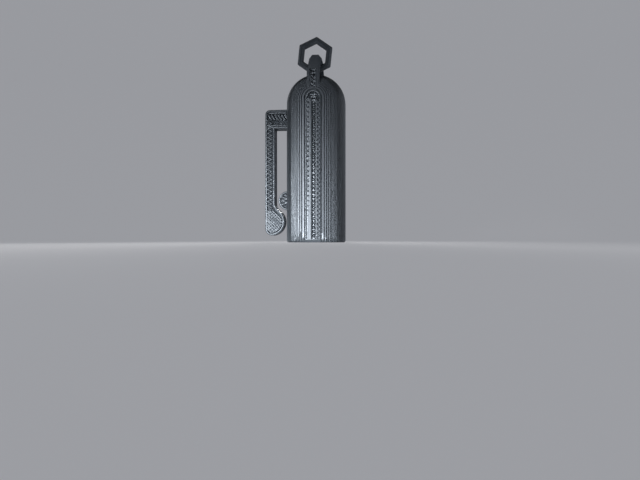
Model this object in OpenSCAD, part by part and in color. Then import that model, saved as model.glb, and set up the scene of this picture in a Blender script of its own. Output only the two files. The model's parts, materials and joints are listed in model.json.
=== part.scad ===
// Marker cap with a pocket clip and a captive lanyard link.
// Origin at the centre of the mouth, +Z towards the dome, the clip towards -X.

/* [Socket] */
// Diameter of the bore that slides over the marker's collar
socket_d = 10.2; // [9.6:0.1:12]
// Depth of the socket, from the mouth to the shoulder that stops the collar
socket_l = 18; // [12:0.5:19]
// Lead-in chamfer at the mouth of the socket
socket_lead_in = 0.4; // [0.2:0.05:0.5]

/* [Cap] */
// Thickness of the cap's wall round the socket
wall = 1.2; // [1:0.05:2]
// Length of the straight wall, from the mouth to the centre of the dome
straight_l = 29.4; // [27:0.1:36]
// Rounding of the outer edge of the mouth
mouth_round = 0.4; // [0.2:0.05:0.5]

/* [Seal sleeve] */
// Width of the shoulder below the sleeve
shoulder_w = 0.5; // [0.3:0.05:0.8]
// Thickness of the sleeve's wall
sleeve_wall = 0.85; // [0.6:0.05:1.2]
// Length of the sleeve
sleeve_l = 12; // [10:0.5:13]
// Thickness of the sleeve's closed end
sleeve_end_t = 0.8; // [0.6:0.1:1.2]
// Lead-in chamfer at the open end of the sleeve
sleeve_lead_in = 0.4; // [0.2:0.05:0.5]
// Radius of each sealing lip inside the sleeve
lip_r = 0.25; // [0.15:0.05:0.35]
// Number of sealing lips
lip_count = 3; // [1:1:4]
// Distance between sealing lips
lip_pitch = 1.6; // [1:0.1:2]
// Radial clearance between the sleeve and its seat
sleeve_fit = 0.05; // [0.02:0.01:0.1]

/* [Clip] */
// Gap between the cap's wall and the inner face of the clip
clip_gap = 2.5; // [2.2:0.1:3.5]
// Thickness of the clip's arm, away from the cap
arm_t = 2.1; // [1.6:0.1:2.6]
// Depth of the clip and its catch, front to back
clip_depth = 2.6; // [2:0.1:4]
// Height of the bracket that carries the arm
bracket_h = 4; // [3:0.1:5]
// Distance from the top of the bracket up to the base of the dome
bracket_drop = 1; // [0.5:0.1:4]
// Radius of the bracket's outer top corner
bracket_corner_r = 1; // [0.5:0.1:1.5]
// Radius of the arm's round tip
tip_r = 3; // [2.6:0.1:3.1]
// Height of the lowest point of the round tip above the mouth
tip_lift = 1.4; // [1:0.1:3]
// Gap between the round tip and the cap's wall
tip_gap = 0.4; // [0.3:0.05:0.8]
// Radius of the tip's outer bottom corner
tip_corner_r = 1.5; // [1:0.1:1.8]
// Radius of the hollow blend between the arm and the tip
tip_blend_r = 2; // [1:0.1:2.2]

/* [Catch] */
// Radius of the half-round catch on the wall
catch_r = 2.05; // [1.6:0.05:2.2]
// How far the catch's centre lies inside the wall
catch_inset = 0.35; // [0.1:0.05:0.6]
// Gap between the catch and the round tip
catch_gap = 0.8; // [0.6:0.05:1.5]

/* [Bail] */
// Width of the bail
bail_w = 2.5; // [2.2:0.1:2.8]
// Thickness of the bail's bar
bail_t = 1.3; // [1.2:0.1:2]
// Chamfer along the edges of the bail's bar
bail_chamfer = 0.6; // [0.3:0.05:0.6]
// How far the bail's front and back faces lie inside the cap's wall
bail_setback = 0.2; // [0.1:0.05:0.6]
// Height and depth of each slanting shoulder of the bail
bail_slant = 4.3; // [3.8:0.1:4.6]

/* [Link] */
// Width of the six-sided link across its flats
link_flats = 7.1; // [6.8:0.1:9]
// Thickness of the link's eight-sided bar across its flats
link_bar = 1.2; // [1:0.05:1.5]
// Gap between the link's lowest corner and the dome
link_float = 0.2; // [0.15:0.05:0.4]
// Gap between the link's bar and the underside of the bail
eye_clear = 0.25; // [0.25:0.05:0.6]
// Angle by which the link leans towards +X at rest
link_lean = 6; // [0:1:8]
// How far the link has slid along its own width, away from its lean
link_slide = 0.6; // [0:0.05:0.7]

/* [Hidden] */
$fn = 96;
printed_grey = [0.45, 0.46, 0.47];
liner_grey = [0.36, 0.37, 0.38];
// Cutters run past the faces that they open by this much
over = 1;
// Thickness of the leaves between which a flare is drawn
leaf = 0.01;

socket_r = socket_d / 2;
cap_r = socket_r + wall;
dome_top = straight_l + cap_r;

seat_r = socket_r - shoulder_w;
sleeve_r = seat_r - sleeve_fit;
sleeve_bore_r = sleeve_r - sleeve_wall;

clip_in = -cap_r - clip_gap;
clip_out = clip_in - arm_t;
bracket_top = straight_l - bracket_drop;
bracket_z = bracket_top - bracket_h;
tip_x = -cap_r - tip_gap - tip_r;
tip_z = tip_lift + tip_r;
catch_x = -cap_r + catch_inset;
catch_z = tip_z + sqrt(pow(tip_r + catch_gap + catch_r, 2) - pow(catch_x - tip_x, 2));

// Half the turn between neighbouring sides of the link
link_corner = 30;
// Half the turn between neighbouring sides of an eight-sided bar, and of the bail's slants
facet_turn = 22.5;
link_corner_r = link_flats / 2 / cos(link_corner);
link_mid_r = (link_flats - link_bar) / 2 / cos(link_corner);
link_z = dome_top + link_float + link_corner_r;
link_bar_r = link_bar / 2 / cos(facet_turn);

// The eye passes the link's slanting bars where they cross the edges of the bail's flat underside
bail_flat = bail_w / 2 - bail_chamfer;
eye_rise = (bail_flat + link_slide) * tan(link_corner);
eye_h = link_float + link_bar / cos(link_corner) + eye_rise + eye_clear;
pivot_z = dome_top + eye_h / 2;
bail_y = cap_r - bail_setback;
bail_reach = cap_r + eye_h + bail_t;
slant_z = bail_reach - bail_slant;

// Half section of the cap's outside: straight wall, dome and rounded mouth edge
module cap_outline() {
    translate([0, mouth_round]) square([cap_r, straight_l - mouth_round]);
    square([cap_r - mouth_round, mouth_round]);
    translate([cap_r - mouth_round, mouth_round]) circle(mouth_round);
    intersection() {
        translate([0, straight_l]) circle(cap_r);
        translate([0, straight_l]) square(cap_r);
    }
}

// Solid outer form of the cap, used to seat what stands on it
module cap_form() {
    rotate_extrude() cap_outline();
}

// Bore for the collar, with a lead-in at the mouth
module socket_cut() {
    translate([0, 0, -over]) cylinder(r = socket_r, h = socket_l + over);
    translate([0, 0, -over])
        cylinder(
            r1 = socket_r + socket_lead_in + over,
            r2 = socket_r,
            h = socket_lead_in + over
        );
}

module cap_shell() {
    color(printed_grey) difference() {
        cap_form();
        socket_cut();
        translate([0, 0, socket_l - over]) cylinder(r = seat_r, h = sleeve_l + over);
    }
}

// Half section of the sleeve: a cup with its open end down
module sleeve_outline() {
    polygon([
        [sleeve_bore_r + sleeve_lead_in, 0],
        [sleeve_r, 0],
        [sleeve_r, sleeve_l],
        [0, sleeve_l],
        [0, sleeve_l - sleeve_end_t],
        [sleeve_bore_r, sleeve_l - sleeve_end_t],
        [sleeve_bore_r, sleeve_lead_in]
    ]);
}

module seal_sleeve() {
    first_lip = sleeve_lead_in + lip_pitch;
    color(liner_grey) translate([0, 0, socket_l]) {
        rotate_extrude() sleeve_outline();
        for (i = [0 : lip_count - 1])
            translate([0, 0, first_lip + i * lip_pitch])
                rotate_extrude() translate([sleeve_bore_r, 0]) circle(lip_r);
    }
}

// One side view of the bail, drawn in by a margin: upright legs, slanting shoulders and a flat top
module bail_side(margin) {
    half = bail_y - margin;
    // An edge moved in parallel to itself shortens where it meets a slanting neighbour
    slip = margin * tan(facet_turn);
    polygon([
        [-half, 0],
        [half, 0],
        [half, slant_z - slip],
        [bail_y - bail_slant - slip, bail_reach - margin],
        [-bail_y + bail_slant + slip, bail_reach - margin],
        [-half, slant_z - slip]
    ]);
}

// Slab of one side view, standing across the cap
module bail_slab(margin, width) {
    translate([0, 0, straight_l]) rotate([90, 0, 90])
        linear_extrude(width, center = true) bail_side(margin);
}

// Bail block with its long edges cut back
module bail_block() {
    hull() {
        bail_slab(0, bail_w - 2 * bail_chamfer);
        bail_slab(bail_chamfer, bail_w);
    }
}

// Thin leaf of one side view, at a distance from the middle of the bail
module bail_leaf(margin, x) {
    translate([x, 0, 0]) bail_slab(margin, leaf);
}

// Eye of the bail, flared at both mouths
module bail_eye() {
    bail_slab(bail_t, bail_w + 2 * over);
    for (side = [-1, 1])
        hull() {
            bail_leaf(bail_t, side * (bail_w / 2 - bail_chamfer));
            bail_leaf(bail_t - bail_chamfer - over, side * (bail_w / 2 + over));
        }
}

module lanyard_bail() {
    color(printed_grey) difference() {
        bail_block();
        bail_eye();
        cap_form();
    }
}

// Stands a side view of the clip in the X-Z plane, at the clip's depth
module clip_extrude() {
    rotate([90, 0, 0]) linear_extrude(clip_depth, center = true) children();
}

module clip_bracket() {
    color(printed_grey) difference() {
        clip_extrude() {
            translate([clip_out, bracket_z]) square([-clip_out, bracket_h - bracket_corner_r]);
            translate([clip_out + bracket_corner_r, bracket_z])
                square([-clip_out - bracket_corner_r, bracket_h]);
            translate([clip_out + bracket_corner_r, bracket_top - bracket_corner_r])
                circle(bracket_corner_r);
        }
        cap_form();
    }
}

// Round tip, flush with the outer face and with its outer bottom corner rounded
module tip_profile() {
    // The corner's arc touches the outer face and the tip's own arc from inside
    corner_x = clip_out + tip_corner_r;
    drop = sqrt(pow(tip_r - tip_corner_r, 2) - pow(corner_x - tip_x, 2));
    corner = [corner_x, tip_z - drop];
    way = [corner_x - tip_x, -drop] / (tip_r - tip_corner_r);
    reach = tip_r + over;
    difference() {
        translate([tip_x, tip_z]) circle(tip_r);
        translate([clip_out - tip_r, tip_z - tip_r - over]) square([tip_r, 2 * reach]);
        polygon([
            corner,
            corner + reach * way,
            corner + reach * [-1, -1],
            corner + reach * [-1, 0]
        ]);
    }
    translate(corner) circle(tip_corner_r);
}

// Hollow blend that carries the arm's inner face into the tip
module tip_blend() {
    side = clip_in + tip_blend_r - tip_x;
    rise = sqrt(pow(tip_r + tip_blend_r, 2) - pow(side, 2));
    middle = [clip_in + tip_blend_r, tip_z + rise];
    difference() {
        polygon([[clip_in, tip_z], [tip_x, tip_z], middle, [clip_in, tip_z + rise]]);
        translate(middle) circle(tip_blend_r);
    }
}

module clip_arm() {
    color(printed_grey) clip_extrude() {
        translate([clip_out, tip_z]) square([arm_t, bracket_z - tip_z]);
        tip_profile();
        tip_blend();
    }
}

module clip_catch() {
    color(printed_grey) difference() {
        clip_extrude() translate([catch_x, catch_z]) circle(catch_r);
        cap_form();
    }
}

// Six-sided ring with an eight-sided bar, lying flat with one corner towards +Y
module hex_ring() {
    // The section lies in the mitre plane at a corner, so it is wider there than across the bar
    mitre = 1 / cos(link_corner);
    rotate([0, 0, 90]) rotate_extrude($fn = 6)
        translate([link_mid_r, 0]) scale([mitre, 1])
            rotate(facet_turn) circle(link_bar_r, $fn = 8);
}

// Link threaded through the eye of the bail, leaning on it
module hex_link() {
    color(printed_grey)
        translate([0, 0, pivot_z]) rotate([0, link_lean, 0])
            translate([-link_slide, 0, link_z - pivot_z]) rotate([90, 0, 0]) hex_ring();
}

cap_shell();
seal_sleeve();
lanyard_bail();
clip_bracket();
clip_arm();
clip_catch();
hex_link();
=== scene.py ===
"""A printed marker cap: terraced shell, sprung pocket clip, catch, lanyard bail and captive link.

The pieces are modelled in millimetres, layer by layer as the printer laid them, and turned into
metres when each mesh becomes an object. Layers lie in the XZ plane and stack along Y.
"""

import json
import logging
import math
import random
from dataclasses import dataclass, field
from enum import Enum
from functools import lru_cache
from typing import Iterator

import bmesh
import bpy
import numpy as np
from mathutils import Matrix, Vector, noise


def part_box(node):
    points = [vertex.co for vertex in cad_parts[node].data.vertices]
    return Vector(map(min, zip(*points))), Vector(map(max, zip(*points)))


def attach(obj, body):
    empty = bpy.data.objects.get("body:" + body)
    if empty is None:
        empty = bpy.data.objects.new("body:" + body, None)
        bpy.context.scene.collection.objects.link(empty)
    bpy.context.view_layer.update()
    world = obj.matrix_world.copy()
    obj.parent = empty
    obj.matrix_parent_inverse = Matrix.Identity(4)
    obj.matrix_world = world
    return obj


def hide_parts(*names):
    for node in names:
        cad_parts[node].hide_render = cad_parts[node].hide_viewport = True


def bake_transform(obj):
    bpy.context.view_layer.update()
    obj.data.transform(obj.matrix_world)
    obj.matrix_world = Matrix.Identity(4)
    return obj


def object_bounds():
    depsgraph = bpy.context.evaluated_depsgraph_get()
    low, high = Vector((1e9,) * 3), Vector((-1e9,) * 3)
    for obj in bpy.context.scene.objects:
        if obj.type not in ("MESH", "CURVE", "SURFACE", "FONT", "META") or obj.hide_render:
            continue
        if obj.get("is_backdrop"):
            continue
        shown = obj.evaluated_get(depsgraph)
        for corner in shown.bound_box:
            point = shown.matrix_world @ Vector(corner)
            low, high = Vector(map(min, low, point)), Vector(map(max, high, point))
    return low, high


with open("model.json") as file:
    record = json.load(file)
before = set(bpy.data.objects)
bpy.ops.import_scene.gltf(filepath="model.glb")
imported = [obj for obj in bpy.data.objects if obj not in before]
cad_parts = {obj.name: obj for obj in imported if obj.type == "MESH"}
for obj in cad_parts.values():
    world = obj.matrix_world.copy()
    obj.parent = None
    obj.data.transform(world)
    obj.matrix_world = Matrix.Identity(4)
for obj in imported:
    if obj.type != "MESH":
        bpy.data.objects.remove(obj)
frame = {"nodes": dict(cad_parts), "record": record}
CAD_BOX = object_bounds()

LOG = logging.getLogger("marker_cap")
MM = 0.001
SHARP = math.radians(38)
# Points nearer than WELD are one, and points nearer than HAIR to a plane lie in it, in millimetres.
WELD = 1e-4
HAIR = 1e-5
# Stands in for a length of nothing in a division.
TINY = 1e-12
# Radians that Blender's wave texture turns through in each unit of length.
WAVE_TURN = 20.0
# Half a side of an octagon over its inner radius.
OCTAGON = math.tan(math.radians(22.5))

Point = tuple[float, float]
Triple = tuple[float, float, float]
Outline = list[Point]
Mesh = bmesh.types.BMesh
Edges = list[bmesh.types.BMEdge]
Tree = bpy.types.NodeTree
Socket = bpy.types.NodeSocket


class Side(Enum):
    """The two flat sides of the print: the one that faces the viewer and the one behind."""

    FRONT = -1.0
    BACK = 1.0


class Grain(Enum):
    """The way in which the laid beads run, as the stretch of their streaks along X, Y and Z."""

    ALONG_CAP = (2.2, 2.2, 0.05)
    ALL_WAYS = (1.0, 1.0, 1.0)


@dataclass(frozen=True)
class PrintRun:
    """Settings that the object was printed with, in millimetres.

    The rows are the heights of the points up one layer's side, as shares of the layer, and a row
    nearer than the seam to a layer's edge lies in the groove.
    """

    layer: float = 0.2
    bead: float = 0.45
    crown: float = 0.08
    gap: float = 0.16
    groove: float = 0.07
    cell: float = 0.08
    border: float = 0.03
    fullness: float = 4.0
    flat: float = 8.0
    under: float = 0.5
    rows: Triple = (0.0, 0.3, 0.7)
    seam: float = 0.1
    wave: Triple = (1.3, 3.7, 1.3)


PRINT = PrintRun()


@lru_cache(maxsize=None)
def node_box(node: str) -> tuple[Vector, Vector]:
    """Give the lowest and highest corners of a node of the frame, in millimetres."""
    low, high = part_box(node)
    return Vector(low) / MM, Vector(high) / MM


def spaced(start: float, end: float, step: float) -> list[float]:
    """Give even values from start to end, both included, at most a step apart."""
    count = max(1, math.ceil(abs(end - start) / step))
    return [start + (end - start) * i / count for i in range(count + 1)]


def arc(centre: Point, radius: float, start: float, end: float, step: float = 0.25) -> Outline:
    """Give points along a round stretch of an outline.

    Args:
        centre: Middle of the circle.
        radius: Radius of the circle.
        start: Angle of the first point, in degrees.
        end: Angle of the last point, in degrees.
        step: Longest distance between two neighbours.

    Returns:
        The points, both ends included.
    """
    turn = math.degrees(step / radius)
    angles = [math.radians(a) for a in spaced(start, end, turn)]
    return [(centre[0] + radius * math.cos(a), centre[1] + radius * math.sin(a)) for a in angles]


def fine(outline: Outline, step: float) -> Outline:
    """Divide the long edges of a closed outline.

    Args:
        outline: Corners of the outline, in order.
        step: Longest edge that is left.

    Returns:
        The outline with points added along its edges.
    """
    points: Outline = []
    for (x0, z0), (x1, z1) in zip(outline, outline[1:] + outline[:1]):
        length = math.hypot(x1 - x0, z1 - z0)
        shares = spaced(0.0, 1.0, min(1.0, step / max(length, TINY)))
        points += [(x0 + (x1 - x0) * s, z0 + (z1 - z0) * s) for s in shares[:-1]]
    return points


def zigzag(left: float, right: float, start: float, end: float, pitch: float) -> Outline:
    """Lay a bead from start to end along Z, to and fro with one turn at each side in a pitch."""
    heights = spaced(start, end, pitch / 2)
    return [(right if i % 2 else left, z) for i, z in enumerate(heights)]


def distance_to(points: np.ndarray, path: Outline) -> np.ndarray:
    """Measure how far points lie from a path.

    Args:
        points: Rows of X and Z.
        path: Corners of the path.

    Returns:
        The distance of each point.
    """
    nearest = np.full(len(points), np.inf)
    for begin, stop in zip(path, path[1:]):
        way = np.subtract(stop, begin)
        length = max(float(way @ way), TINY)
        offset = points - np.array(begin)
        share = np.clip(offset @ way / length, 0.0, 1.0)
        gap = offset - share[:, None] * way
        nearest = np.minimum(nearest, np.hypot(gap[:, 0], gap[:, 1]))
    return nearest


def lumps(x: float, y: float, z: float, pitch: Triple) -> float:
    """Give smooth noise from -1 to 1, with a pitch of lumps in a millimetre along each axis."""
    return noise.noise(Vector((x * pitch[0], y * pitch[1], z * pitch[2])))


@dataclass(frozen=True)
class Bead:
    """One run of laid bead: its path, its width, how high its top lies and how flat it is."""

    path: Outline
    width: float = PRINT.bead
    top: float = PRINT.crown
    fullness: float = PRINT.fullness


@dataclass(frozen=True)
class Ring:
    """One bead laid along an outline: how far in it starts, its width and how flat its top is."""

    start: float = 0.0
    width: float = PRINT.bead
    fullness: float = PRINT.fullness


@dataclass(frozen=True)
class Smear:
    """A spot where the nozzle turned and pressed the bead to a slant that rises along X and Z."""

    path: Outline
    width: float
    level: float = 0.0
    rise: Point = (0.12, 0.2)


@dataclass(frozen=True)
class Press:
    """The size of a smear: half its length along X and Z, its width and its level."""

    reach: Point
    width: float
    level: float = 0.0


@dataclass(frozen=True)
class PitRow:
    """A row of small slanting holes up a strip, which are shallower near the mouth."""

    x: float
    lift: float
    slant: Point
    width: float
    top: float
    start: float
    margin: float
    pitch: float
    full_from: float
    fade: float

    def holes(self, straight: float) -> Iterator[Bead]:
        """Give the holes.

        Args:
            straight: Height at which the strip's arch begins.

        Yields:
            The holes, from the mouth up.
        """
        for mark in spaced(self.start, straight - self.margin, self.pitch):
            z = mark + self.lift
            path = [(self.x, z), (self.x + self.slant[0], z + self.slant[1])]
            yield Bead(path, self.width, self.top + self.fade * max(0.0, self.full_from - mark))


@dataclass
class Relief:
    """Beads that show on a flat printed face: rings along its outline and runs laid inside them."""

    outline: Outline
    runs: list[Bead] = field(default_factory=list)
    rings: tuple[Ring, ...] = (Ring(),)
    pits: list[Bead] = field(default_factory=list)
    gap: float = PRINT.gap
    tilt: Point = (0.0, 0.0)
    ridge: float = 0.0
    cell: float = PRINT.cell
    smears: list[Smear] = field(default_factory=list)

    def heights(self, points: np.ndarray) -> np.ndarray:
        """Give the height of the beads over the border of the face.

        Args:
            points: Rows of X and Z.

        Returns:
            The height at each point, which is the crown at most.
        """
        edge = distance_to(points, self.outline + self.outline[:1])
        height = self._under(points)
        for ring in self.rings:
            middle = np.abs(edge - ring.start - ring.width / 2)
            height = np.maximum(height, self._swell(middle, ring, PRINT.crown))
        for run in self.runs:
            distance = distance_to(points, run.path)
            height = np.maximum(height, self._swell(distance, run, run.top))
        for pit in self.pits:
            share = 2.0 * distance_to(points, pit.path) / pit.width
            level = pit.top + (PRINT.crown - pit.top) * share**2
            height = np.where(share < 1.0, np.minimum(height, level), height)
        for smear in self.smears:
            inside = distance_to(points, smear.path) < smear.width / 2
            slant = smear.level + (points - np.mean(smear.path, axis=0)) @ np.array(smear.rise)
            height = np.where(inside, np.minimum(slant, PRINT.crown), height)
        slope = np.clip(edge / (self.rings[0].width / 2), 0.0, 1.0)
        shoulder = PRINT.crown * (1.0 - (1.0 - slope) ** 2)
        return np.where(slope < 1.0, shoulder, height) - self._fall(points)

    def _under(self, points: np.ndarray) -> np.ndarray:
        """Give the slanting beads of the layer below, which show in the gaps."""
        share = (points[:, 0] + points[:, 1]) / PRINT.under % 1.0
        return -self.gap - 2.0 * PRINT.gap * np.abs(share - 0.5)

    def _fall(self, points: np.ndarray) -> np.ndarray:
        """Give how far the face falls away to the left and right of its ridge."""
        offset = points[:, 0] - self.ridge
        return np.where(offset < 0.0, -self.tilt[0] * offset, self.tilt[1] * offset)

    def _swell(self, distance: np.ndarray, bead: Bead | Ring, top: float) -> np.ndarray:
        """Give the round section of a bead.

        Args:
            distance: How far each point lies from the bead's middle.
            bead: The bead.
            top: Height of its top.

        Returns:
            The height at each point, without a floor beside the bead.
        """
        share = 2.0 * distance / bead.width
        level = top - (top + self.gap) * share**bead.fullness
        return np.where(share < 1.0, level, -np.inf)


def cut_cells(bm: Mesh, face: bmesh.types.BMFace, size: float) -> list[bmesh.types.BMFace]:
    """Cut a flat face into a grid along Z and then along X.

    Args:
        bm: Mesh that holds the face.
        face: Face in a plane across Y.
        size: Side of the cells.

    Returns:
        The cells.
    """
    cells = [face]
    for axis in (Vector((0, 0, 1)), Vector((1, 0, 0))):
        marks = [v.co.dot(axis) for cell in cells for v in cell.verts]
        live, done = cells, []
        for mark in spaced(min(marks), max(marks), size)[1:-1]:
            geometry = {part for cell in live for part in (cell, *cell.edges, *cell.verts)}
            cut = bmesh.ops.bisect_plane(
                bm, geom=list(geometry), dist=HAIR, plane_co=axis * mark, plane_no=axis
            )
            faces = [g for g in cut["geom"] if isinstance(g, bmesh.types.BMFace)]
            live = [f for f in faces if f.calc_center_bounds().dot(axis) > mark]
            done += [f for f in faces if f.calc_center_bounds().dot(axis) <= mark]
            if not live:
                break
        cells = done + live
    return cells


def join(bm: Mesh, part: Mesh) -> None:
    """Add one mesh to another.

    Args:
        bm: Mesh that takes the part.
        part: Mesh to add, which is used up.
    """
    mesh = bpy.data.meshes.new("part")
    part.to_mesh(mesh)
    part.free()
    bm.from_mesh(mesh)
    bpy.data.meshes.remove(mesh)


def draw_line(bm: Mesh, points: list[Vector | Triple], closed: bool) -> Edges:
    """Draw edges from point to point.

    Args:
        bm: Mesh that takes the edges.
        points: Points, in order.
        closed: Whether the last point is joined to the first.

    Returns:
        The edges, in order.
    """
    verts = [bm.verts.new(point) for point in points]
    ends = verts[1:] + verts[:1] if closed else verts[1:]
    return [bm.edges.new(pair) for pair in zip(verts, ends)]


def outline_edges(bm: Mesh, outline: Outline, y: float) -> Edges:
    """Draw a closed outline in a plane across Y."""
    return draw_line(bm, [(x, y, z) for x, z in outline], closed=True)


def outline_face(bm: Mesh, outline: Outline, y: float) -> bmesh.types.BMFace:
    """Fill a closed outline in a plane across Y."""
    return bmesh.ops.edgeloop_fill(bm, edges=outline_edges(bm, outline, y))["faces"][0]


def loop_points(bm: Mesh, edges: Edges) -> list[Vector]:
    """Give the points of a closed loop of edges, in order.

    Args:
        bm: Mesh that holds the edges.
        edges: Edges of one closed loop.

    Returns:
        Copies of the points.
    """
    face = bmesh.ops.edgeloop_fill(bm, edges=edges)["faces"][0]
    points = [v.co.copy() for v in face.verts]
    bmesh.ops.delete(bm, geom=[face], context="FACES_ONLY")
    return points


def boundary(bm: Mesh) -> Edges:
    """Give the edges that have one face only."""
    return [edge for edge in bm.edges if edge.is_boundary]


def spin_round(
    bm: Mesh, section: list[Triple], axis: Triple, steps: int, closed: bool, weld: float = WELD
) -> None:
    """Spin a section once round an axis through the origin.

    Args:
        bm: Mesh that takes the surface.
        section: Points of the section, in order.
        axis: Way of the axis.
        steps: Steps in the turn.
        closed: Whether the section is a loop.
        weld: Distance under which two points are one.
    """
    edges = draw_line(bm, section, closed)
    verts = list(dict.fromkeys(v for edge in edges for v in edge.verts))
    bmesh.ops.spin(
        bm,
        geom=verts + edges,
        cent=(0, 0, 0),
        axis=axis,
        angle=math.tau,
        steps=steps,
        use_merge=True,
    )
    bmesh.ops.remove_doubles(bm, verts=bm.verts, dist=weld)


def pull_edges(bm: Mesh, edges: Edges, way: Vector) -> tuple[Edges, list[bmesh.types.BMVert]]:
    """Extrude edges by one step.

    Args:
        bm: Mesh that holds the edges.
        edges: Open edges to extrude.
        way: Step to move the new edges by.

    Returns:
        The new edges and their vertices.
    """
    made = bmesh.ops.extrude_edge_only(bm, edges=edges)["geom"]
    verts = [g for g in made if isinstance(g, bmesh.types.BMVert)]
    fresh = set(verts)
    ahead = [g for g in made if isinstance(g, bmesh.types.BMEdge) and fresh.issuperset(g.verts)]
    bmesh.ops.translate(bm, vec=way, verts=verts)
    return ahead, verts


def bead_face(bm: Mesh, relief: Relief, plane: float, side: Side) -> None:
    """Close an outline with laid beads whose crowns reach a plane.

    Args:
        bm: Mesh that takes the face.
        relief: Beads to raise, with their outline.
        plane: Y of the beads' crowns.
        side: Side of the print that the face looks to.
    """
    part = bmesh.new()
    base = plane - side.value * PRINT.crown
    face = outline_face(part, relief.outline, base)
    bmesh.ops.inset_region(
        part, faces=[face], thickness=PRINT.border, use_boundary=True, use_even_offset=True
    )
    verts = list({v for cell in cut_cells(part, face, relief.cell) for v in cell.verts})
    heights = relief.heights(np.array([(v.co.x, v.co.z) for v in verts]))
    for vert, height in zip(verts, heights):
        vert.co.y = base + side.value * float(height)
    join(bm, part)


def press_rows(
    rows: list[tuple[float, list[bmesh.types.BMVert]]], low: float, rise: float, ripple: float
) -> None:
    """Press the grooves between layers into a stack's sides, and let the layers wander in.

    Args:
        rows: Y of each row up the sides, and its points.
        low: Y at which the first layer starts.
        rise: Height of one layer.
        ripple: How far the layers wander.
    """
    ends = (rows[0][0], rows[-1][0])
    for y, verts in rows:
        share = (y - low) / rise
        groove = PRINT.groove if abs(share - round(share)) < PRINT.seam else 0.0
        if y in ends and groove == 0.0:
            continue
        layer = math.floor(share + PRINT.seam / 2)
        for vert in verts:
            out = Vector((vert.normal.x, 0, vert.normal.z)).normalized()
            wander = 0.5 + 0.5 * lumps(vert.co.x, layer, vert.co.z, PRINT.wave)
            vert.co -= out * (groove + ripple * wander)


def lay_layers(
    bm: Mesh, outline: Outline, low: float, high: float, reliefs: dict[Side, Relief], ripple: float
) -> None:
    """Lay an outline as a stack of layers with rounded sides and a groove between each two.

    Args:
        bm: Mesh that takes the stack.
        outline: Points of the outline in the XZ plane.
        low: Y of the front.
        high: Y of the back.
        reliefs: Beads on the front and back faces, where they show.
        ripple: How far the sides wander in.
    """
    part = bmesh.new()
    count = max(1, round((high - low) / PRINT.layer))
    rise = (high - low) / count
    start = low + PRINT.crown * (Side.FRONT in reliefs)
    stop = high - PRINT.crown * (Side.BACK in reliefs)
    inner = [low + (k + share) * rise for k in range(count) for share in PRINT.rows]
    places = [start] + [y for y in inner if start + WELD < y < stop - WELD] + [stop]
    edges = outline_edges(part, outline, start)
    rows = [(start, [edge.verts[0] for edge in edges])]
    for y, before in zip(places[1:], places):
        edges, verts = pull_edges(part, edges, Vector((0, y - before, 0)))
        rows.append((y, verts))
    part.normal_update()
    press_rows(rows, low, rise, ripple)
    for side, plane, place in ((Side.FRONT, low, start), (Side.BACK, high, stop)):
        if side in reliefs:
            bead_face(part, reliefs[side], plane, side)
        else:
            rim = [e for e in part.edges if all(abs(v.co.y - place) < HAIR for v in e.verts)]
            bmesh.ops.edgeloop_fill(part, edges=rim)
    bmesh.ops.remove_doubles(part, verts=part.verts, dist=WELD)
    join(bm, part)


def link_mesh(bm: Mesh, name: str, material: bpy.types.Material) -> bpy.types.Object:
    """Give a mesh to the scene as a smooth object at the origin.

    Args:
        bm: Finished mesh, which is used up.
        name: Name of the object.
        material: Its material.

    Returns:
        The new object.
    """
    for face in bm.faces:
        face.smooth = True
    mesh = bpy.data.meshes.new(name)
    bm.to_mesh(mesh)
    bm.free()
    mesh.materials.append(material)
    made = bpy.data.objects.new(name, mesh)
    bpy.context.scene.collection.objects.link(made)
    return made


def make_object(bm: Mesh, name: str, finish: bpy.types.Material) -> bpy.types.Object:
    """Close a mesh in millimetres and give it to the scene in metres.

    Args:
        bm: Finished mesh, which is used up.
        name: Name of the piece.
        finish: Material of the piece.

    Returns:
        The new object, at the origin.
    """
    bmesh.ops.remove_doubles(bm, verts=bm.verts, dist=WELD)
    bmesh.ops.recalc_face_normals(bm, faces=bm.faces)
    bmesh.ops.scale(bm, vec=Vector((MM, MM, MM)), verts=bm.verts)
    piece = link_mesh(bm, name, finish)
    mesh = piece.data
    mesh.set_sharp_from_angle(angle=SHARP)
    LOG.info("%s: %d vertices, %d faces", name, len(mesh.vertices), len(mesh.polygons))
    return piece


def math_node(tree: Tree, operation: str, *values: Socket | float) -> Socket:
    """Add a Math node.

    Args:
        tree: Node tree to add to.
        operation: What the node does.
        values: What it works on, as sockets to link or numbers to set, in order.

    Returns:
        The result.
    """
    node = tree.nodes.new("ShaderNodeMath")
    node.operation = operation
    for socket, value in zip(node.inputs, values):
        if isinstance(value, bpy.types.NodeSocket):
            tree.links.new(value, socket)
        else:
            socket.default_value = value
    return node.outputs["Value"]


def noise_node(tree: Tree, place: Socket, size: float, stretch: Triple, detail: float) -> Socket:
    """Add noise of a real size.

    Args:
        tree: Node tree to add to.
        place: Coordinates, in metres.
        size: Size of the largest lumps, in millimetres.
        stretch: Frequency along X, Y and Z, as a share of the plain one.
        detail: Octaves of finer lumps.

    Returns:
        The noise, about 0.5.
    """
    mapping = tree.nodes.new("ShaderNodeMapping")
    mapping.inputs["Scale"].default_value = tuple(s / (size * MM) for s in stretch)
    tree.links.new(place, mapping.inputs["Vector"])
    texture = tree.nodes.new("ShaderNodeTexNoise")
    texture.inputs["Scale"].default_value = 1.0
    texture.inputs["Detail"].default_value = detail
    tree.links.new(mapping.outputs["Vector"], texture.inputs["Vector"])
    return texture.outputs["Fac"]


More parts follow.
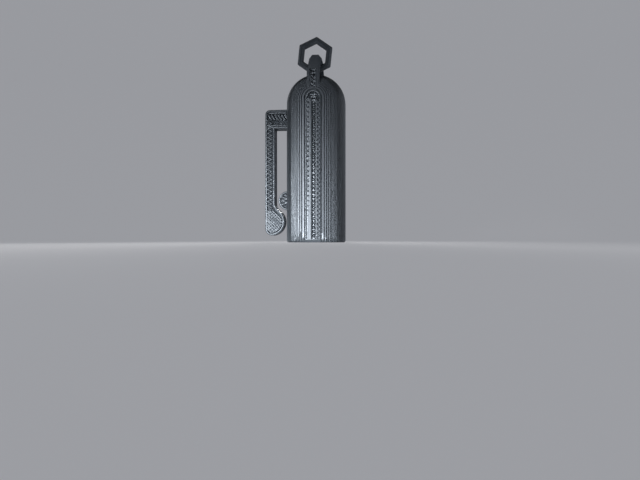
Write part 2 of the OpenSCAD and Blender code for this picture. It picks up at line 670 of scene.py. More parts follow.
def bump_node(tree: Tree, height: Socket, depth: float, below: Socket | None = None) -> Socket:
    """Add one bump over another.

    Args:
        tree: Node tree to add to.
        height: Height field, about 0 to 1.
        depth: Real depth of the field, in millimetres.
        below: Normal of the bump that lies under this one.

    Returns:
        The bumped normal.
    """
    bump = tree.nodes.new("ShaderNodeBump")
    bump.inputs["Strength"].default_value = 1.0
    bump.inputs["Distance"].default_value = depth * MM
    tree.links.new(height, bump.inputs["Height"])
    if below:
        tree.links.new(below, bump.inputs["Normal"])
    return bump.outputs["Normal"]


@dataclass(frozen=True)
class SilverPrint:
    """Silver-grey printed plastic: a satin skin with fine flake and the streaks of laid beads."""

    name: str
    grain: Grain = Grain.ALL_WAYS
    colour: Triple = (0.144, 0.168, 0.196)
    flake_contrast: float = 0.16
    flake_size: float = 0.09
    flake_detail: float = 2.0
    flake_share: float = 0.6
    streak_size: float = 0.5
    streak_detail: float = 4.0
    streak_range: Point = (0.3, 0.7)
    tint_range: Point = (0.36, 0.64)
    speck_spacing: float = 1.25
    speck_radius: float = 0.1
    speck_colour: Triple = (0.01, 0.01, 0.012)
    metallic: float = 0.35
    roughness: float = 0.41
    gloss_spread: Point = (-0.07, 0.09)
    streak_depth: float = 0.007
    grit_share: float = 0.35
    layer_depth: float = 0.0

    def material(self) -> bpy.types.Material:
        """Build the node material.

        Returns:
            The material, on Object coordinates.
        """
        material = bpy.data.materials.new(self.name)
        material.use_nodes = True
        tree = material.node_tree
        shader = tree.nodes["Principled BSDF"]
        shader.inputs["Metallic"].default_value = self.metallic
        place = tree.nodes.new("ShaderNodeTexCoord").outputs["Object"]
        plain = Grain.ALL_WAYS.value
        flake = noise_node(tree, place, self.flake_size, plain, self.flake_detail)
        streak = noise_node(tree, place, self.streak_size, self.grain.value, self.streak_detail)
        colour = self._speckle(tree, place, self._tint(tree, flake, streak))
        tree.links.new(colour, shader.inputs["Base Color"])
        tree.links.new(self._gloss(tree, streak), shader.inputs["Roughness"])
        tree.links.new(self._skin(tree, place, flake, streak), shader.inputs["Normal"])
        return material

    def _tint(self, tree: Tree, flake: Socket, streak: Socket) -> Socket:
        """Mottle the colour with flake and streaks.

        Args:
            tree: Node tree to add to.
            flake: Fine noise.
            streak: Coarse noise along the beads.

        Returns:
            The colour.
        """
        share = math_node(tree, "MULTIPLY", streak, 1.0 - self.flake_share)
        joined = math_node(tree, "MULTIPLY_ADD", flake, self.flake_share, share)
        ramp = tree.nodes.new("ShaderNodeValToRGB")
        contrasts = (1.0 - self.flake_contrast, 1.0 + self.flake_contrast)
        for stop, place, level in zip(ramp.color_ramp.elements, self.tint_range, contrasts):
            stop.position = place
            stop.color = (*(c * level for c in self.colour), 1.0)
        tree.links.new(joined, ramp.inputs["Fac"])
        return ramp.outputs["Color"]

    def _speckle(self, tree: Tree, place: Socket, colour: Socket) -> Socket:
        """Strew a few dark specks over the colour.

        Args:
            tree: Node tree to add to.
            place: Coordinates, in metres.
            colour: Colour between the specks.

        Returns:
            The colour with specks.
        """
        cells = tree.nodes.new("ShaderNodeTexVoronoi")
        cells.inputs["Scale"].default_value = 1.0 / (self.speck_spacing * MM)
        tree.links.new(place, cells.inputs["Vector"])
        radius = self.speck_radius / self.speck_spacing
        mix = tree.nodes.new("ShaderNodeMix")
        mix.data_type = "RGBA"
        ends = {socket.identifier: socket for socket in (*mix.inputs, *mix.outputs)}
        speck = math_node(tree, "LESS_THAN", cells.outputs["Distance"], radius)
        tree.links.new(speck, ends["Factor_Float"])
        tree.links.new(colour, ends["A_Color"])
        ends["B_Color"].default_value = (*self.speck_colour, 1.0)
        return ends["Result_Color"]

    def _gloss(self, tree: Tree, streak: Socket) -> Socket:
        """Vary the roughness along the beads.

        Args:
            tree: Node tree to add to.
            streak: Coarse noise along the beads.

        Returns:
            The roughness.
        """
        spread = tree.nodes.new("ShaderNodeMapRange")
        for end, value, change in zip(("Min", "Max"), self.streak_range, self.gloss_spread):
            spread.inputs[f"From {end}"].default_value = value
            spread.inputs[f"To {end}"].default_value = self.roughness + change
        tree.links.new(streak, spread.inputs["Value"])
        return spread.outputs["Result"]

    def _skin(self, tree: Tree, place: Socket, flake: Socket, streak: Socket) -> Socket:
        """Roughen the skin with streaks, flake and, where asked, layers.

        Args:
            tree: Node tree to add to.
            place: Coordinates, in metres.
            flake: Fine noise.
            streak: Coarse noise along the beads.

        Returns:
            The bumped normal.
        """
        grit = bump_node(tree, flake, self.streak_depth * self.grit_share)
        skin = bump_node(tree, streak, self.streak_depth, grit)
        if not self.layer_depth:
            return skin
        wave = tree.nodes.new("ShaderNodeTexWave")
        wave.bands_direction = "Y"
        wave.inputs["Scale"].default_value = math.tau / WAVE_TURN / (PRINT.layer * MM)
        tree.links.new(place, wave.inputs["Vector"])
        return bump_node(tree, wave.outputs["Fac"], self.layer_depth, skin)


@dataclass
class CapShell:
    """Round tube with a half-sphere end, whose skin is terraced because it was printed on its side."""

    finish: bpy.types.Material
    radius: float = 6.3
    straight: float = 29.4
    socket_radius: float = 5.1
    socket_depth: float = 18.0
    seat_radius: float = 4.6
    seat_depth: float = 30.02
    lead_in: float = 0.4
    mouth_round: float = 0.4
    mouth_angles: Triple = (30, 60, 90)
    slice_share: float = 1.1
    lip_share: float = 0.7
    chamfer: float = 0.05
    undercut: float = 0.05
    crevice: float = 0.18
    crevice_share: float = 0.4
    crevice_depth: float = 0.18
    tread_tilt: float = 0.055
    tilt_spread: float = 0.03
    wander: float = 0.022
    drift: float = 0.002
    drift_pitch: Triple = (0.05, 3.3, 0.5)
    rough_reach: float = 2.6
    rough_depth: float = 0.22
    rough_pitch: Triple = (2.1, 0.5, 2.1)
    row: float = 0.4
    dome_steps: int = 64
    bore_steps: int = 128
    seed: int = 7
    rings: tuple[Ring, ...] = (Ring(0.0, 0.42),)
    strip_tilt: Point = (0.032, 0.075)
    strip_ridge: float = 0.45
    strip_margin: float = 0.01
    strip_gap: float = 0.25
    strip_cell: float = 0.068
    bands: tuple[Point, ...] = ((-0.76, 1.28), (0.955, 1.01))
    band_margin: float = 0.2
    slant: float = 0.12
    slant_growth: float = 0.0068
    slant_start: float = 0.03
    trough: float = 0.16
    dash_pitch: float = 0.895
    dash_margin: float = 1.2
    dash_change: float = 17.0
    dash_spread: float = 0.04
    close_dash: Press = Press((0.09, 0.0), 0.21, 0.03)
    long_dash: Press = Press((0.09, 0.0), 0.29, 0.03)
    short_dash: Press = Press((0.04, 0.0), 0.18, -0.08)
    dot: Press = Press((0.0, 0.06), 0.34, 0.02)
    dot_column: float = -1.09
    dot_pitch: float = 1.0
    dot_start: float = 11.0
    dot_margin: float = 0.4
    arch_dot: Press = Press((0.05, 0.0), 0.34, 0.02)
    arch_inset: float = 0.3
    arch_pitch: float = 0.3
    arch_turn: Point = (15, 165)
    head: tuple[tuple[float, Press], ...] = (
        (28.75, Press((0.18, 0.0), 0.5)),
        (29.4, Press((0.4, 0.0), 0.42)),
        (29.95, Press((0.62, 0.0), 0.34)),
    )
    pit_rows: tuple[PitRow, ...] = (
        PitRow(-0.95, 0.0, (0.05, -0.08), 0.3, -0.12, 5.5, 0.9, 1.0, 13.0, 0.022),
        PitRow(1.0, 0.06, (0.08, -0.12), 0.36, -0.2, 1.0, 0.6, 0.92, 9.0, 0.015),
        PitRow(1.42, 0.4, (0.04, -0.08), 0.28, -0.14, 1.0, 0.6, 0.92, 9.0, 0.015),
    )

    def build(self) -> bpy.types.Object:
        """Model the shell.

        Returns:
            The piece, which replaces its plain solid.
        """
        bm = bmesh.new()
        self._skin(bm, self._profile())
        self._strips(bm)
        self._mouth(bm)
        piece = make_object(bm, "terraced_shell", self.finish)
        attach(piece, "cap")
        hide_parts("cap_shell")
        return piece

    def _half_widths(self) -> list[float]:
        """Give the half width of each layer, a hair uneven from one to the next.

        Returns:
            The half widths from front to back.
        """
        count = round(2 * self.radius / PRINT.layer)
        draw = random.Random(self.seed)
        cuts = [min(0.0, -self.radius + (k + self.slice_share) * PRINT.layer) for k in range(count)]
        return [math.sqrt(self.radius**2 - y**2) - self.wander * draw.random() for y in cuts]

    def _profile(self) -> Outline:
        """Give the stepped half section across the cap, as X and Y from front to back.

        Returns:
            The points from the edge of the front strip to that of the back strip.
        """
        widths = self._half_widths()
        middle = len(widths) // 2
        draw = random.Random(self.seed)
        front: Outline = []
        for k, width in enumerate(widths[: middle + 1]):
            y = -self.radius + k * PRINT.layer
            if k == 0:
                front.append((width, y + PRINT.crown))
                front.append((width, y + PRINT.layer * self.lip_share))
            else:
                tilt = self.tread_tilt + self.tilt_spread * (2 * draw.random() - 1)
                front += self._tread(widths[k - 1], width, y, tilt)
                front.append((width, y + PRINT.layer / 2))
            if k < middle:
                deep = min(self.crevice_depth, max(widths[k + 1] - width, 0.0))
                front.append((min(width, widths[k + 1]) - self.undercut, y + PRINT.layer + deep))
        back = [(x, -y) for x, y in reversed(front[:-1])]
        return front + back

    def _tread(self, inner: float, outer: float, y: float, tilt: float) -> Outline:
        """Give the flat of one terrace.

        Args:
            inner: Half width of the layer above it.
            outer: Half width of its own layer.
            y: Height of the flat.
            tilt: How much the flat falls towards its edge.

        Returns:
            The points from the crevice at its inner corner to its chamfered edge.
        """
        rim = outer - self.chamfer
        start = inner + min(self.crevice, self.crevice_share * max(outer - inner, 0.0))
        if rim - start < self.chamfer:
            return [(rim, y)]
        return [(start, y), (rim, y + tilt * (rim - start))]

    def _skin(self, bm: Mesh, profile: Outline) -> None:
        """Spin the section over the dome and pull it down to the mouth.

        Args:
            bm: Mesh that takes the skin.
            profile: Half section across the cap.
        """
        verts = [bm.verts.new((x, y, self.straight)) for x, y in profile]
        edges = [bm.edges.new(pair) for pair in zip(verts, verts[1:])]
        spun = bmesh.ops.spin(
            bm,
            geom=verts + edges,
            cent=(0, 0, self.straight),
            axis=(0, 1, 0),
            angle=-math.pi,
            steps=self.dome_steps,
        )
        edges += [g for g in spun["geom_last"] if isinstance(g, bmesh.types.BMEdge)]
        length = self.straight - self.mouth_round
        _, low = pull_edges(bm, edges, Vector((0, 0, -length)))
        middle = self.straight / 2
        uprights = [e for v in low for e in v.link_edges if e.other_vert(v).co.z > middle]
        cuts = round(length / self.row)
        bmesh.ops.subdivide_edges(bm, edges=uprights, cuts=cuts, use_grid_fill=True)
        self._wander(bm)

    def _wander(self, bm: Mesh) -> None:
        """Let each layer wander a hair, and dent the skin near the mouth.

        Args:
            bm: Mesh of the skin.
        """
        strip = self._half_widths()[0] + self.strip_margin
        for vert in bm.verts:
            x, y, z = vert.co
            if math.hypot(x, max(z - self.straight, 0.0)) > strip:
                drift = 0.5 + 0.5 * lumps(x, y, z, self.drift_pitch)
                vert.co.x *= 1.0 - self.drift * drift
                vert.co.y -= math.copysign(self._dent(x, y, z), y)

    def _dent(self, x: float, y: float, z: float) -> float:
        """Give the depth of the uneven patches that fade out up the wall from the mouth."""
        fade = max(0.0, 1.0 - z / self.rough_reach)
        return self.rough_depth * fade * max(0.0, lumps(x, y, z, self.rough_pitch))

    def _strips(self, bm: Mesh) -> None:
        """Close the front and back strips with their beads.

        Args:
            bm: Mesh of the skin, open along both strips.
        """
        for side in Side:
            plane = side.value * self.radius
            base = plane - side.value * PRINT.crown
            edges = [e for e in boundary(bm) if all(abs(v.co.y - base) < WELD for v in e.verts)]
            ends = {v for e in edges for v in e.verts if v.co.z < self.mouth_round + WELD}
            edges.append(bm.edges.new(sorted(ends, key=lambda v: v.co.x)))
            outline = [(p.x, p.z) for p in loop_points(bm, edges)]
            relief = Relief(
                outline,
                list(self._strip_runs()),
                self.rings,
                [hole for row in self.pit_rows for hole in row.holes(self.straight)],
                self.strip_gap,
                tilt=self.strip_tilt,
                ridge=self.strip_ridge,
                cell=self.strip_cell,
                smears=list(self._strip_smears()),
            )
            bead_face(bm, relief, plane, side)
            bmesh.ops.remove_doubles(bm, verts=bm.verts, dist=WELD)

    def _strip_runs(self) -> Iterator[Bead]:
        """Give the two bands of fill.

        Yields:
            The runs of bead.
        """
        top = self.straight - self.band_margin
        for x, width in self.bands:
            path = [(x, self.mouth_round), (x, top - abs(x) / 2)]
            yield Bead(path, width, fullness=PRINT.flat)

    def _strip_smears(self) -> Iterator[Smear]:
        """Give the turns of the fill: dashes in the trough, dots beside it, and the arch.

        Yields:
            The smears, from the mouth up in each row.
        """
        draw = random.Random(self.seed)
        bottom, top = self.mouth_round + PRINT.bead, self.straight - self.dash_margin
        for k, z in enumerate(spaced(bottom, top, self.dash_pitch / 2)):
            apart = self.short_dash if k % 2 else self.long_dash
            dash = self.close_dash if z > self.dash_change else apart
            yield self._pressed(self.trough, z, dash, self.dash_spread * draw.random())
        for z in spaced(self.dot_start, self.straight - self.dot_margin, self.dot_pitch):
            yield self._pressed(self.dot_column, z, self.dot)
        for z, press in self.head:
            yield self._pressed(self.trough, z, press)
        bend = self._half_widths()[0] - self.arch_inset
        for x, z in arc((0.0, self.straight), bend, *self.arch_turn, self.arch_pitch):
            yield self._pressed(x, z, self.arch_dot)

    def _pressed(self, x: float, z: float, press: Press, longer: float = 0.0) -> Smear:
        """Press one spot into the fill, with a slant that grows up the strip.

        Args:
            x: Middle of the spot across the cap.
            z: Height of the spot over the mouth.
            press: Size of the spot.
            longer: What is added to half its length across the cap.

        Returns:
            The smear.
        """
        across, up = press.reach[0] + longer, press.reach[1]
        rise = (self.slant, self.slant_growth * z - self.slant_start)
        return Smear([(x - across, z - up), (x + across, z + up)], press.width, press.level, rise)

    def _mouth(self, bm: Mesh) -> None:
        """Round the mouth's edge, line the bore and join the two.

        Args:
            bm: Mesh of the skin, open at the mouth.
        """
        part = bmesh.new()
        edges = draw_line(part, loop_points(bm, boundary(bm)), closed=True)
        last, inset = self.mouth_round, 0.0
        for angle in self.mouth_angles:
            turn = math.radians(angle)
            level = self.mouth_round * (1.0 - math.sin(turn))
            drawn = self.mouth_round * (1.0 - math.cos(turn))
            edges, verts = pull_edges(part, edges, Vector((0, 0, level - last)))
            shrink = (self.radius - drawn) / (self.radius - inset)
            bmesh.ops.scale(part, vec=Vector((shrink, shrink, 1)), verts=verts)
            last, inset = level, drawn
        section = [
            (self.socket_radius + self.lead_in, 0, 0),
            (self.socket_radius, 0, self.lead_in),
            (self.socket_radius, 0, self.socket_depth),
            (self.seat_radius, 0, self.socket_depth),
            (self.seat_radius, 0, self.seat_depth),
            (0, 0, self.seat_depth),
        ]
        spin_round(part, section, (0, 0, 1), self.bore_steps, closed=False)
        flat = [e for e in boundary(part) if all(abs(v.co.z) < WELD for v in e.verts)]
        bmesh.ops.triangle_fill(part, edges=flat, use_beauty=True, normal=(0, 0, -1))
        join(bm, part)


@dataclass
class PocketClip:
    """Bracket, springy arm and round tip, laid as one bent outline that bends at the arm's root."""

    finish: bpy.types.Material
    arm: float = 2.1
    corner: float = 1.0
    tip: float = 3.0
    tip_corner: float = 1.5
    tip_blend: float = 2.0
    root_depth: float = 0.9
    step: float = 0.4
    ripple: float = 0.09
    bend_length: float = 6.0
    left_margin: float = 0.47
    right_margin: float = 0.62
    fill_drop: float = 2.4
    fill_pitch: float = 0.871
    fill_fullness: float = 2.2
    lower_rows: Point = (0.22, 0.66)
    lower_start: float = 0.2
    upper_row: float = 0.66
    upper_start: float = 0.4
    stroke: tuple[Point, Point] = ((-0.25, -1.15), (0.35, -2.1))
    stroke_start: float = 0.5
    stroke_pitch: float = 0.83
    stroke_width: float = 0.52
    tip_bead: float = 0.42
    tip_margin: float = 1.5
    pit_margin: float = 1.8
    pit_pitch: float = 1.2
    pit_slant: float = 0.06
    pit_width: float = 0.22
    pit_top: float = -0.08

    def build(self) -> bpy.types.Object:
        """Model the clip.

        Returns:
            The piece, which replaces the bracket and the arm and bends between them.
        """
        low, high = node_box("clip_arm")
        outline = fine(self._outline(), self.step)
        ring = Ring(fullness=PRINT.flat)
        relief = Relief(outline, self._runs(), (ring,), list(self._tip_pits()))
        bm = bmesh.new()
        lay_layers(bm, outline, low.y, high.y, {side: relief for side in Side}, self.ripple)
        piece = make_object(bm, "pocket_clip", self.finish)
        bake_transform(piece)
        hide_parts("clip_bracket", "clip_arm")
        return piece

    def _tip_centre(self) -> Point:
        """Give the middle of the round tip."""
        low, high = node_box("clip_arm")
        return high.x - self.tip, low.z + self.tip

    def _outline(self) -> Outline:
        """Give the clip's side view: along the top, down the arm, round the tip and back.

        Returns:
            The points of the closed outline.
        """
        outer = node_box("clip_arm")[0].x
        inner = outer + self.arm
        root, top = (corner.z for corner in node_box("clip_bracket"))
        wall = node_box("cap_shell")[0].x + self.root_depth
        tip = self._tip_centre()
        offset = outer + self.tip_corner - tip[0]
        drop = math.sqrt((self.tip - self.tip_corner) ** 2 - offset**2)
        corner = (outer + self.tip_corner, tip[1] - drop)
        meet = math.degrees(math.atan2(-drop, offset))
        reach = inner + self.tip_blend - tip[0]
        rise = math.sqrt((self.tip + self.tip_blend) ** 2 - reach**2)
        blend = (inner + self.tip_blend, tip[1] + rise)
        leave = math.degrees(math.atan2(rise, reach))
        return (
            [(wall, top)]
            + arc((outer + self.corner, top - self.corner), self.corner, 90, 180)
            + arc(corner, self.tip_corner, 180, 360 + meet)
            + arc(tip, self.tip, meet, leave)[1:]
            + arc(blend, self.tip_blend, 180 + leave, 180)[1:]
            + [(inner, root), (wall, root)]
        )

    def _runs(self) -> list[Bead]:
        """Give the beads laid inside the outline: arm, bracket and tip.

        Returns:
            The runs of bead.
        """
        low = node_box("clip_arm")[0]
        root, top = (corner.z for corner in node_box("clip_bracket"))
        wall = node_box("cap_shell")[0].x
        left, right = low.x + self.left_margin, low.x + self.arm - self.right_margin
        neck = low.z + 2 * self.tip
        arm = zigzag(left, right, top - self.fill_drop, neck, self.fill_pitch)
        starts = [(left + self.lower_start, root + row) for row in self.lower_rows]
        starts.append((left + self.upper_start, top - self.upper_row))
        runs = [Bead(arm, fullness=self.fill_fullness)]
        runs += [Bead([(x, z), (wall, z)], fullness=PRINT.flat) for x, z in starts]
        for x in spaced(left + self.stroke_start, wall, self.stroke_pitch):
            stroke = [(x + across, top + up) for across, up in self.stroke]
            runs.append(Bead(stroke, self.stroke_width, fullness=PRINT.flat))
        tip = self._tip_runs(left, neck)
        return runs + [Bead(run, self.tip_bead, fullness=PRINT.flat) for run in tip]

    def _tip_pits(self) -> Iterator[Bead]:
        """Give the small holes between the slanting beads of the tip.

        Yields:
            Round pits in rows at half a right angle.
        """
        centre = self._tip_centre()
        left = node_box("clip_arm")[0].x + 2 * PRINT.bead
        reach = self.tip - PRINT.bead * self.pit_margin
        places = spaced(-reach, reach, self.tip_bead * self.pit_pitch)
        for along, across in ((a, b) for a in places for b in places):
            x, z = (along + across) * math.sqrt(0.5), (along - across) * math.sqrt(0.5)
            if math.hypot(x, z) < reach and centre[0] + x > left:
                start = (centre[0] + x, centre[1] + z)
                end = (start[0] + self.pit_slant, start[1] - self.pit_slant)
                yield Bead([start, end], self.pit_width, self.pit_top)

    def _tip_runs(self, left: float, top: float) -> Iterator[Outline]:
        """Give the slanting beads that fill the tip.

        Args:
            left: X of the fill's outer edge.
            top: Z where the arm's fill ends.

        Yields:
            Straight runs at half a right angle.
        """
        centre = Vector(self._tip_centre())
        reach = self.tip - PRINT.bead * self.tip_margin
        along = Vector((1, -1)).normalized()
        across = Vector((1, 1)).normalized()
        for offset in spaced(-reach, reach, self.tip_bead):
            half = math.sqrt(max(reach**2 - offset**2, 0.0))
            start, end = (centre + across * offset + along * s for s in (-half, half))
            if start.x < left:
                start += along * (left - start.x) / along.x
            if end.x > start.x + PRINT.bead and start.y < top:
                yield [tuple(start), tuple(end)]


@dataclass
class ClipCatch:
    """Half-round bump on the wall, just above the clip's tip."""

    finish: bpy.types.Material
    radius: float = 2.05
    ripple: float = 0.03
    step: float = 0.2
    fill_margin: float = 1.4
    fill_share: float = 0.6
    fill_pitch: float = 0.9

    def build(self) -> bpy.types.Object:
        """Model the catch.

        Returns:
            The piece, which replaces its plain solid.
        """
        low, high = node_box("clip_catch")
        x, z = low.x + self.radius, (low.z + high.z) / 2
        outline = arc((x, z), self.radius, 0, 360, self.step)[:-1]
        reach = self.radius - PRINT.bead * self.fill_margin
        half = reach * self.fill_share
        relief = Relief(outline, [Bead(zigzag(x - reach, x, z - half, z + half, self.fill_pitch))])
        bm = bmesh.new()
        lay_layers(bm, outline, low.y, high.y, {side: relief for side in Side}, self.ripple)
        piece = make_object(bm, "printed_catch", self.finish)
        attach(piece, "cap")
        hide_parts("clip_catch")
        return piece


@dataclass
class LanyardBail:
    """Loop that stands over the dome from front to back, with chamfered bars and slanting shoulders."""

    finish: bpy.types.Material
    width: float = 2.5
    bar: float = 1.3
    chamfer: float = 0.6
    slant: float = 4.3
    base: float = 29.4
    cap_radius: float = 6.3
    root_depth: float = 0.6
    ripple: float = 0.03
    step: float = 0.5
    tilt: float = 0.06
    ring_bead: float = 0.3
    reach: float = 0.42
    band_share: float = 1.2
    rows: int = 2
    row: float = 0.62
    row_share: float = 0.6
    row_rise: Point = (0.06, 0.16)
    row_pit: float = -0.2
    stroke_pitch: float = 0.45
    stroke_reach: Point = (0.16, 0.1)
    stroke_width: float = 0.38
    dot: float = 0.26
    dot_reach: float = 0.05
    dot_pit: float = -0.24

    def build(self) -> bpy.types.Object:
        """Model the bail, one slab for each layer.

        Returns:
            The piece, which replaces its plain solid.
        """
        low, high = node_box("lanyard_bail")
        bm = bmesh.new()
        layers = round((high.y - low.y) / PRINT.layer)
        for k in range(layers):
            y = low.y + k * PRINT.layer
            outline = fine(self._section(abs(y + PRINT.layer / 2)), self.step)
            reliefs = {}
            if k in (0, layers - 1):
                side = Side.FRONT if k == 0 else Side.BACK
                reliefs[side] = self._relief(outline)
            lay_layers(bm, outline, y, y + PRINT.layer, reliefs, self.ripple)
        piece = make_object(bm, "printed_bail", self.finish)
        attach(piece, "cap")
        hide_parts("lanyard_bail")
        return piece

    def _relief(self, outline: Outline) -> Relief:
        """Give the beads on the front of a leg: rows at its top and turns to and fro below them.

        Args:
            outline: Outline of the leg's outermost layer.

        Returns:
            The beads.
        """
        heights = [z for _, z in outline]
        top = max(heights) - self.ring_bead
        low, high = min(heights), top - self.rows * self.row
        half = self.reach / 2
        band = self.reach * self.band_share
        runs = [Bead([(x, low), (x, top)], band, fullness=PRINT.flat) for x in (-half, half)]
        pits, smears = [], []
        for k in range(self.rows):
            z = top - k * self.row
            row, between = ([(-self.reach, h), (self.reach, h)] for h in (z, z - self.row / 2))
            smears.append(Smear(row, self.row * self.row_share, rise=self.row_rise))
            pits.append(Bead(between, self.dot, self.row_pit))
        across, lean = self.stroke_reach
        for k, z in enumerate(spaced(high, low, self.stroke_pitch)):
            way = 1 if k % 2 else -1
            x = half * way
            stroke = [(x - across, z - lean * way), (x + across, z + lean * way)]
            smears.append(Smear(stroke, self.stroke_width))
            hole = [(-x, z + self.dot_reach), (-x, z - self.dot_reach)]
            pits.append(Bead(hole, self.dot, self.dot_pit))
        rings = (Ring(0.0, self.ring_bead),)
        tilt = (self.tilt, self.tilt)
        return Relief(outline, runs, rings, pits, tilt=tilt, ridge=self.width / 2, smears=smears)

    def _top(self, margin: float, y: float) -> float:
        """Give the height of the bail's side view, drawn in by a margin.

        Args:
            margin: How far the side view is drawn in.
            y: Distance from the middle of the cap.

        Returns:
            The height of the crossbar or, further out, of the slanting shoulder.
        """
        high = node_box("lanyard_bail")[1]
        half = high.y - margin
        slip = margin * OCTAGON
        return min(high.z - margin, high.z - self.slant - slip + half - y)

    def _section(self, y: float) -> Outline:
        """Give the section of the bail in one layer.

        Args:
            y: Distance of the layer from the middle of the cap.

        Returns:
            The points of its closed outline.
        """
        reach = node_box("lanyard_bail")[1].y
        flat, full = self.width / 2 - self.chamfer, self.width / 2
        depth = reach - y
        half = min(full, flat + depth)
        shoulder = self._top(min(depth, self.chamfer), y)
        right = [(flat, self._top(0.0, y)), (half, shoulder)]
        if y < reach - self.bar:
            right += [(full, self._top(self.bar - self.chamfer, y)), (flat, self._top(self.bar, y))]
        elif y < reach - self.bar + self.chamfer:
            narrow = flat + y - (reach - self.bar)
            right += [
                (full, self._top(self.bar - self.chamfer, y)),
                (narrow, self._top(depth, y)),
                (narrow, self._foot(narrow, y)),
            ]
        else:
            right.append((half, self._foot(half, y)))
        return right + [(-x, z) for x, z in reversed(right)]

    def _foot(self, x: float, y: float) -> float:
        """Give the height at which a leg ends, a little under the dome's skin."""
        inside = max(self.cap_radius**2 - x**2 - y**2, 0.0)
        return self.base + max(math.sqrt(inside) - self.root_depth, 0.0)


@dataclass
class HexLink:
    """Loose six-sided link, printed in place through the bail and leaning on it."""

    finish: bpy.types.Material
    sides: int = 6
    flats: float = 7.1
    bar: float = 1.2
    lean: float = 6.0
    corner_round: float = 0.1
    layers: int = 6
    flank: Point = (0.35, 0.65)
    score: float = 0.07
    roughness: float = 0.05
    rough_pitch: float = 2.6
    cuts: int = 14

    def build(self) -> bpy.types.Object:
        """Model the link: its layered section, spun once round in six steps.

        Returns:
            The piece, which replaces its plain solid.
        """
        bm = bmesh.new()
        stretch = 1.0 / math.cos(math.pi / self.sides)
        section = [(0, y, reach * stretch) for reach, y in self._section()]
        spin_round(bm, section, (0, 1, 0), self.sides, closed=True)
        corners = [e for e in bm.edges if e.calc_length() <= self.bar]
        bmesh.ops.bevel(
            bm,
            geom=corners,
            offset=self.corner_round,
            segments=2,
            profile=0.5,
            affect="EDGES",
            material=-1,
        )
        bars = [e for e in bm.edges if e.calc_length() > self.bar]
        bmesh.ops.subdivide_edges(bm, edges=bars, cuts=self.cuts, use_grid_fill=True)
        self._roughen(bm)
        bmesh.ops.transform(bm, matrix=self._pose(), verts=bm.verts)
        piece = make_object(bm, "printed_link", self.finish)
        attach(piece, "link")
        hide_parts("hex_link")
        return piece

    def _section(self) -> Outline:
        """Give the bar's section, as distance from the link's middle and Y.

        Returns:
            The points round eight-sided layers with a groove between each two and a scored front.
        """
        middle, front = (self.flats - self.bar) / 2, -self.bar / 2
        facet = self.bar / 2 * OCTAGON
        rise = self.bar / self.layers
        heights = [front + (k + 0.5) * rise for k in range(self.layers)]
        halves = [self.bar / 2 - max(abs(y) - facet, 0.0) for y in heights]
        side: Outline = []
        for k, half in enumerate(halves):
            y = front + k * rise
            side.append((half - self.score, y))
            side += [(half, y + share * rise) for share in self.flank]
        side.append((halves[-1] - self.score, -front))
        outer = [(middle + half, y) for half, y in side]
        inner = [(middle - half, y) for half, y in reversed(side)]
        scored = ((-self.score, 0.0), (0.0, self.score), (self.score, 0.0))
        return outer + inner + [(middle + x, front + y) for x, y in scored]

    def _roughen(self, bm: Mesh) -> None:
        """Press shallow uneven spots into the bars.

        Args:
            bm: Mesh of the link.
        """
        bm.normal_update()
        for vert in bm.verts:
            spot = 0.5 + 0.5 * noise.noise(vert.co * self.rough_pitch)
            vert.co -= vert.normal * self.roughness * spot

    def _pose(self) -> Matrix:
        """Give the turn and place of the leaning link.

        Returns:
            The matrix from the link's own frame to the cap's, in millimetres.
        """
        mount = next(m for m in frame["record"]["mounts"] if m["name"] == "link_eye")
        centre = Vector(mount["pos_m"]) / MM
        return Matrix.Translation(centre) @ Matrix.Rotation(math.radians(self.lean), 4, "Y")


@dataclass
class SealSleeve:
    """Cup with sealing lips that sits inside the dome."""

    finish: bpy.types.Material

    def dress(self) -> bpy.types.Object:
        """Give the sleeve's own solid its finish.

        Returns:
            The sleeve.
        """
        sleeve = frame["nodes"]["seal_sleeve"]
        sleeve.data.materials.clear()
        sleeve.data.materials.append(self.finish)
        return sleeve


@dataclass(frozen=True)
class Beam:
    """A lamp with a soft-edged beam, in metres and watts, and degrees from the front to the clip."""

    name: str
    azimuth: float
    height: float
    power: float
    aim: Triple = (-0.002, 0.0, 0.012)


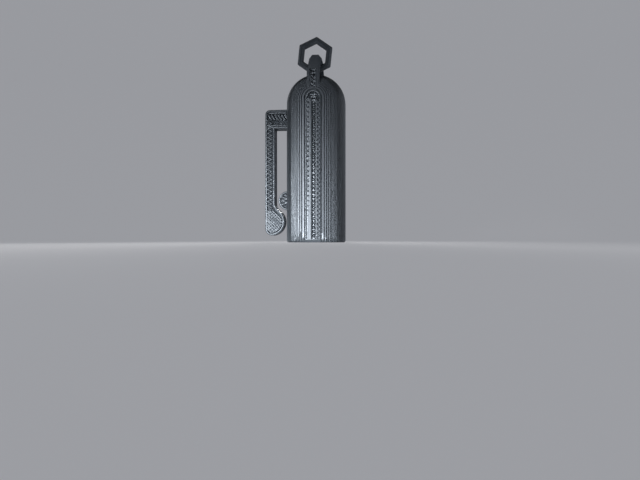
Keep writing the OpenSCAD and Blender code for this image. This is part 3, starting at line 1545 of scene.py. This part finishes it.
@dataclass
class Studio:
    """Pale floor that curves up all round, four soft beams and the camera, in metres."""

    floor_radius: float = 0.45
    cove: float = 0.25
    cove_step: float = 0.03
    wall: float = 0.5
    floor_steps: int = 96
    floor_weld: float = 1e-6
    floor_colour: Triple = (0.5, 0.495, 0.495)
    floor_level: float = 0.3
    floor_glow: Triple = (0.975, 1.0, 1.08)
    air: float = 0.08
    beams: tuple[Beam, ...] = (
        Beam("front_beam", 21.0, 0.012, 6.5, (0.002, 0.0, -0.018)),
        Beam("back_beam", 172.0, 0.05, 4.5),
        Beam("left_beam", 100.0, 0.09, 0.3),
        Beam("right_beam", 258.0, 0.09, 0.27),
    )
    beam_distance: float = 0.25
    beam_radius: float = 0.036
    beam_size: float = 0.03
    camera_distance: float = 0.1035
    camera_height: float = 0.0005
    camera_offset: float = 0.0008
    camera_azimuth: float = 6.0
    camera_near: float = 0.0005
    focal_pixels: float = 481.0
    image_width: float = 640.0
    sensor: float = 36.0

    def build(self) -> None:
        """Set up the floor, the lamps, the world and the camera."""
        self._floor()
        for beam in self.beams:
            self._lamp(beam)
        self._world()
        self._camera()

    def _floor(self) -> None:
        """Spin the floor, its cove and its wall as one bowl."""
        bm = bmesh.new()
        base = self.floor_radius
        section = [(0.0, 0.0), (base, 0.0)]
        section += arc((base, self.cove), self.cove, 270, 360, self.cove_step)[1:]
        section.append((base + self.cove, self.wall))
        points = [(x, 0, z) for x, z in section]
        spin_round(bm, points, (0, 0, 1), self.floor_steps, closed=False, weld=self.floor_weld)
        bmesh.ops.recalc_face_normals(bm, faces=bm.faces)
        bmesh.ops.reverse_faces(bm, faces=bm.faces)
        floor = link_mesh(bm, "studio_floor", self._floor_material())
        floor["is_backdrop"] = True

    def _floor_material(self) -> bpy.types.Material:
        """Make the floor's matt paint, which looks evenly pale and keeps a shadow.

        Returns:
            The material.
        """
        material = bpy.data.materials.new("studio_paint")
        material.use_nodes = True
        tree = material.node_tree
        tree.nodes.remove(tree.nodes["Principled BSDF"])
        paint = tree.nodes.new("ShaderNodeBsdfDiffuse")
        paint.inputs["Color"].default_value = (*self.floor_colour, 1.0)
        rays = tree.nodes.new("ShaderNodeLightPath").outputs
        seen = rays["Is Camera Ray"]
        for ray in ("Is Glossy Ray", "Is Transmission Ray"):
            seen = math_node(tree, "MAXIMUM", seen, rays[ray])
        glow = tree.nodes.new("ShaderNodeEmission")
        glow.inputs["Color"].default_value = (*self.floor_glow, 1.0)
        level = math_node(tree, "MULTIPLY", seen, self.floor_level)
        tree.links.new(level, glow.inputs["Strength"])
        both = tree.nodes.new("ShaderNodeAddShader")
        tree.links.new(paint.outputs["BSDF"], both.inputs[0])
        tree.links.new(glow.outputs["Emission"], both.inputs[1])
        tree.links.new(both.outputs["Shader"], tree.nodes["Material Output"].inputs["Surface"])
        return material

    def _lamp(self, beam: Beam) -> None:
        """Add one round lamp, which is strongest at the point that it looks at.

        Args:
            beam: Place, aim and power of the lamp.
        """
        light = bpy.data.lights.new(beam.name, "SPOT")
        light.energy = beam.power
        light.spot_size = 2 * math.atan(self.beam_radius / self.beam_distance)
        light.spot_blend = 1.0
        light.shadow_soft_size = self.beam_size
        lamp = bpy.data.objects.new(beam.name, light)
        turn = math.radians(beam.azimuth)
        lamp.location = Vector((-math.sin(turn), -math.cos(turn), 0)) * self.beam_distance
        lamp.location.z = beam.height
        look = Vector(beam.aim) - lamp.location
        lamp.rotation_euler = look.to_track_quat("-Z", "Y").to_euler()
        bpy.context.scene.collection.objects.link(lamp)

    def _world(self) -> None:
        """Fill the room with weak even light."""
        world = bpy.data.worlds.new("studio_air")
        world.use_nodes = True
        background = world.node_tree.nodes["Background"]
        background.inputs["Color"].default_value = (1.0, 1.0, 1.0, 1.0)
        background.inputs["Strength"].default_value = self.air
        bpy.context.scene.world = world

    def _camera(self) -> None:
        """Stand the camera level, just right of the cap's axis, as the photograph was taken."""
        data = bpy.data.cameras.new("camera")
        data.sensor_width = self.sensor
        data.lens = self.sensor * self.focal_pixels / self.image_width
        data.clip_start = self.camera_near
        camera = bpy.data.objects.new("camera", data)
        turn = math.radians(self.camera_azimuth)
        back = Vector((math.sin(turn), -math.cos(turn), 0))
        right = Vector((math.cos(turn), math.sin(turn), 0))
        camera.location = back * self.camera_distance + right * self.camera_offset
        camera.location.z = self.camera_height
        camera.rotation_euler = (math.radians(90), 0, turn)
        bpy.context.scene.collection.objects.link(camera)
        bpy.context.scene.camera = camera


def write_sizes() -> None:
    """Gather the solid model's box and the dressed model's box."""
    boxes = {"cad": CAD_BOX, "visual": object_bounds()}
    plain = {name: [list(corner) for corner in corners] for name, corners in boxes.items()}


def main() -> None:
    """Build every piece of the cap and the studio round it."""
    logging.basicConfig(level=logging.INFO, format="%(name)s %(message)s")
    bpy.context.scene.view_settings.view_transform = "Standard"
    shell = SilverPrint("silver_shell", Grain.ALONG_CAP).material()
    plain = SilverPrint("silver_beads").material()
    liner = SilverPrint("silver_liner", layer_depth=0.03).material()
    for piece in (
        CapShell(shell).build(),
        PocketClip(plain).build(),
        ClipCatch(plain).build(),
        LanyardBail(plain).build(),
        HexLink(plain).build(),
        SealSleeve(liner).dress(),
    ):
        LOG.info("dressed %s", piece.name)
    Studio().build()
    write_sizes()


if __name__ == "__main__":
    main()
